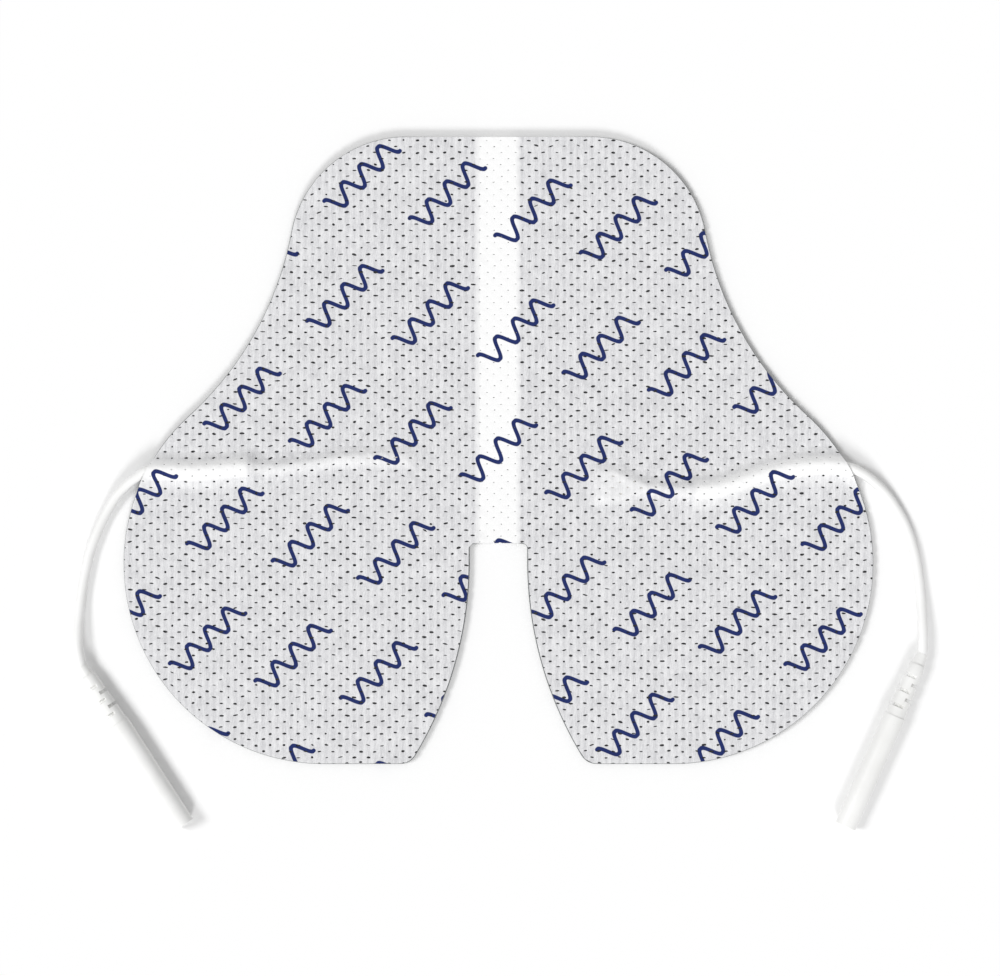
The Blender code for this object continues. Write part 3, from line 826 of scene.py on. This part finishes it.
def core_under(side, points):
    """What a lead holds up at each point: how far off its crest the point is, the radius under it, the
    distance past the stripped end, and a fade to nothing past the strands."""
    places = lead_places(side)
    chosen = np.concatenate([places["outside"][1::-1], places["inside"], places["strands"]])
    run = smooth_route(chosen, 1.0)
    step = run[-1] - run[-2]
    run = np.concatenate([run, [run[-1] + step / math.hypot(*step) * TUNNEL_RUN_OUT]])
    gone, aside = along_route(points, run)
    total = distances(run)[-1] - TUNNEL_RUN_OUT
    stripped = distances(run)[np.argmin(np.hypot(*(run - places["inside"][-1]).T))]
    past = gone - stripped
    fanned = eased(2 * np.clip(past / (total - stripped), 0, 1) - 1)
    spread = (LEADS[side]["fan_width"] / 2 - STRAND_RADIUS) * fanned
    thin = STRAND_RADIUS * (1 - FAN_THINNING * fanned)
    radius = WIRE_RADIUS + (thin - WIRE_RADIUS) * eased(past / TUNNEL_RUN_OUT)
    fade = 1 - eased((gone - total) / TUNNEL_RUN_OUT)
    return np.maximum(aside - CREST_FLAT / 2 - spread, 0), radius, past, fade


def ridge_height(off, radius, fade):
    """The cover's height over a lead: a round over the core, then a hollow fillet down to the flat."""
    over = radius + COVER_LIFT
    centre = FILM_TOP + WIRE_CLEARANCE + radius
    fillet_z = COVER_TOP + TUNNEL_FILLET
    across = np.sqrt(np.maximum((over + TUNNEL_FILLET) ** 2 - (centre - fillet_z) ** 2, 0.01))
    crown = centre + np.sqrt(np.maximum(over ** 2 - off ** 2, 0))
    foot = fillet_z - np.sqrt(np.maximum(TUNNEL_FILLET ** 2 - (across - off) ** 2, 0))
    height = np.where(off < across * over / (over + TUNNEL_FILLET), crown, foot)
    height = np.where(off < across, height, COVER_TOP)
    return (np.maximum(height, COVER_TOP) - COVER_TOP) * fade


def fading(distance, white):
    """A share that holds up to one distance and eases to nothing over another."""
    share, holds, run_out = white
    return share * (1 - eased((distance - holds) / run_out))


def whiteness(points, cores):
    """How much the cover is whitened: backed by white over the strip, the wires and the strands, and,
    less, beside the wires, where painted light lightens the shaded flanks of the ridges."""
    white = fading(np.abs(points[:, 0]), STRIP_WHITE)
    for off, _, past, fade in cores:
        # White backing over the wire, plus painted light on the ridge's shaded flanks beside it
        wire_and_flank_white = fading(off, WIRE_WHITE) + fading(off, FLANK_PAINTED_LIGHT)
        wire_and_flank_white = wire_and_flank_white * fading(past, STRIPPED_END)
        on_strands = fading(off, STRANDS_WHITE) * fade
        white = np.maximum(white, np.maximum(wire_and_flank_white, on_strands))
    return white


def wall_faces(triangles, count):
    """A wall under each edge that only one triangle has, down to the copy below."""
    start = triangles.ravel()
    end = np.roll(triangles, -1, axis=1).ravel()
    alone = ~np.isin(start * count + end, end * count + start)
    start, end = start[alone], end[alone]
    return np.column_stack([start, start + count, end + count, end])


def add_cover(finish):
    """The whole cover: its web, split finer over the leads, trimmed, raised over them, and given its
    thickness by a copy straight below."""
    points, dip, triangles = cover_cells()
    near = np.zeros(len(points), dtype=bool)
    for side in LEADS:
        off, _, _, fade = core_under(side, points)
        near |= (off < TUNNEL_HALF) & (fade > 0.01)
    points, dip, triangles = split_where(near, points, dip, triangles)
    points, dip, triangles = cut_to_outline(points, dip, triangles)
    cores = [core_under(side, points) for side in LEADS]
    raised = np.max([ridge_height(off, radius, fade) for off, radius, _, fade in cores], axis=0)
    top = COVER_TOP + raised - dip
    below = COVER_BOTTOM + raised
    count = len(points)
    upper = np.column_stack([points, top])
    lower = np.column_stack([points, below])
    faces = [triangles, triangles[:, ::-1] + count, wall_faces(triangles, count)]
    cover = new_piece("perforated_cover", np.concatenate([upper, lower]), faces, finish,
                      38)
    # Whiteness per point: white backing, and painted light on the ridges' shaded flanks
    white = cover.data.attributes.new("backing_white_and_flank_light", "FLOAT", "POINT")
    white.data.foreach_set("value", np.tile(whiteness(points, cores), 2))
    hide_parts("fabric_cover")
    return cover


# Gel

def add_gel(side, finish):
    """A soft sheet: the pole's outline at each height, moved outwards by a half sine for its edge."""
    sign = LEADS[side]["sign"]
    pole = OUTLINE[OUTLINE[:, 0] > POLE_EDGE + 0.05]
    ring = np.concatenate([[(POLE_EDGE, PAD_HEIGHT / 2)], pole, [(POLE_EDGE, NOTCH_TOP)]])
    ahead = np.roll(ring, -1, axis=0) - np.roll(ring, 1, axis=0)
    outward = np.column_stack([-ahead[:, 1], ahead[:, 0]]) / np.hypot(*ahead.T)[:, None]
    t = np.linspace(0, math.pi, GEL_ROWS)[:, None, None]
    moved = ring + ((GEL_BULGE + GEL_TUCK) * np.sin(t) - GEL_TUCK) * outward
    heights = np.broadcast_to(GEL_THICKNESS / 2 * (1 - np.cos(t)), moved.shape[:2] + (1,))
    points = np.concatenate([moved * (sign, 1), heights], axis=-1)
    gel = new_piece(side + "_gel_layer", points.reshape(-1, 3), skin_faces(GEL_ROWS, len(ring)),
                    finish, 60)
    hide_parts(side + "_gel_sheet")


def refinish(node, material):
    """A solid whose shape is right keeps it and gets a better material."""
    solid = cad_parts[node]
    if not solid.material_slots:
        solid.data.materials.append(material)
    for slot in solid.material_slots:
        slot.material = material


# Floor and light

def add_floor():
    """A white table just under the pad. It keeps every shadow."""
    constants = {"Base Color": (1, 1, 1, 1), "Roughness": 0.9, "Specular IOR Level": 0.0}
    finish = Finish("white_table", constants)
    half = FLOOR_SIZE / 2 * MM
    level = -FLOOR_DROP * MM
    corners = [(-half, -half, level), (half, -half, level), (half, half, level), (-half, half, level)]
    mesh = bpy.data.meshes.new("floor")
    mesh.from_pydata(corners, [], [(0, 1, 2, 3)])
    mesh.materials.append(finish.material)
    floor = bpy.data.objects.new("floor", mesh)
    bpy.context.scene.collection.objects.link(floor)


def add_sun(name, share, tilt, turns):
    """A soft sun that gives the floor this share of its light: strength = share times pi over the
    cosine of its tilt."""
    data = bpy.data.lights.new(name, "SUN")
    data.energy = share * math.pi / math.cos(math.radians(tilt))
    data.angle = math.radians(SUN_SPREAD)
    sun = bpy.data.objects.new(name, data)
    sun.rotation_euler = [math.radians(turn) for turn in turns]
    bpy.context.scene.collection.objects.link(sun)


def add_sky():
    """Even light from all round, which the view, reflections and clear things see as plain white."""
    world = bpy.data.worlds.new("studio")
    world.use_nodes = True
    tree = world.node_tree
    sky = tree.nodes["Background"]
    white = tree.nodes.new("ShaderNodeBackground")
    for background, strength in ((sky, SKY_SHARE), (white, 1.0)):
        background.inputs["Color"].default_value = (1, 1, 1, 1)
        background.inputs["Strength"].default_value = strength
    path = tree.nodes.new("ShaderNodeLightPath")
    seen = path.outputs["Is Camera Ray"]
    for ray in ("Is Glossy Ray", "Is Transmission Ray"):
        either = tree.nodes.new("ShaderNodeMath")
        either.operation = "MAXIMUM"
        tree.links.new(seen, either.inputs[0])
        tree.links.new(path.outputs[ray], either.inputs[1])
        seen = either.outputs[0]
    mix = tree.nodes.new("ShaderNodeMixShader")
    tree.links.new(seen, mix.inputs[0])
    tree.links.new(sky.outputs[0], mix.inputs[1])
    tree.links.new(white.outputs[0], mix.inputs[2])
    tree.links.new(mix.outputs[0], tree.nodes["World Output"].inputs["Surface"])
    bpy.context.scene.world = world


bpy.context.scene.view_settings.view_transform = "Standard"
add_camera()

moulded = plastic_finish("white_moulded_pvc", (0.95, 0.95, 0.94), (0.90, 0.90, 0.885), 0.36)
insulation = plastic_finish("white_pvc_insulation", (0.96, 0.96, 0.955), (0.92, 0.92, 0.91), 0.40)
nickel = metal_finish("nickel_plated_brass", (0.62, 0.60, 0.55), (0.82, 0.80, 0.75), 0.24, 0.05, 1.5)
tinned = metal_finish("tinned_copper_strands", (0.60, 0.58, 0.54), (0.80, 0.78, 0.75), 0.32, 0.08, 3.0)
carbon = film_finish("black_carbon_film", (0.010, 0.010, 0.011), (0.020, 0.020, 0.022), 0.4)
white_film = film_finish("white_polyester_film", (0.86, 0.86, 0.85), (0.92, 0.92, 0.91), 0.45)
gel_skin = gel_finish()

for side in LEADS:
    connector = add_connector(side, moulded)
    add_wire(side, insulation)
    refinish(side + "_socket_contact", nickel)
    refinish(side + "_conductor", tinned)
    refinish(side + "_conductive_film", carbon)
    add_gel(side, gel_skin)
refinish("insulating_strip", white_film)
add_cover(fabric_finish())

add_floor()
add_sun("key_sun", KEY_SHARE, KEY_TILT, (0, -KEY_TILT, 0))
add_sun("second_sun", SECOND_SHARE, SECOND_TILT, (SECOND_TILT, 0, 0))
add_sky()
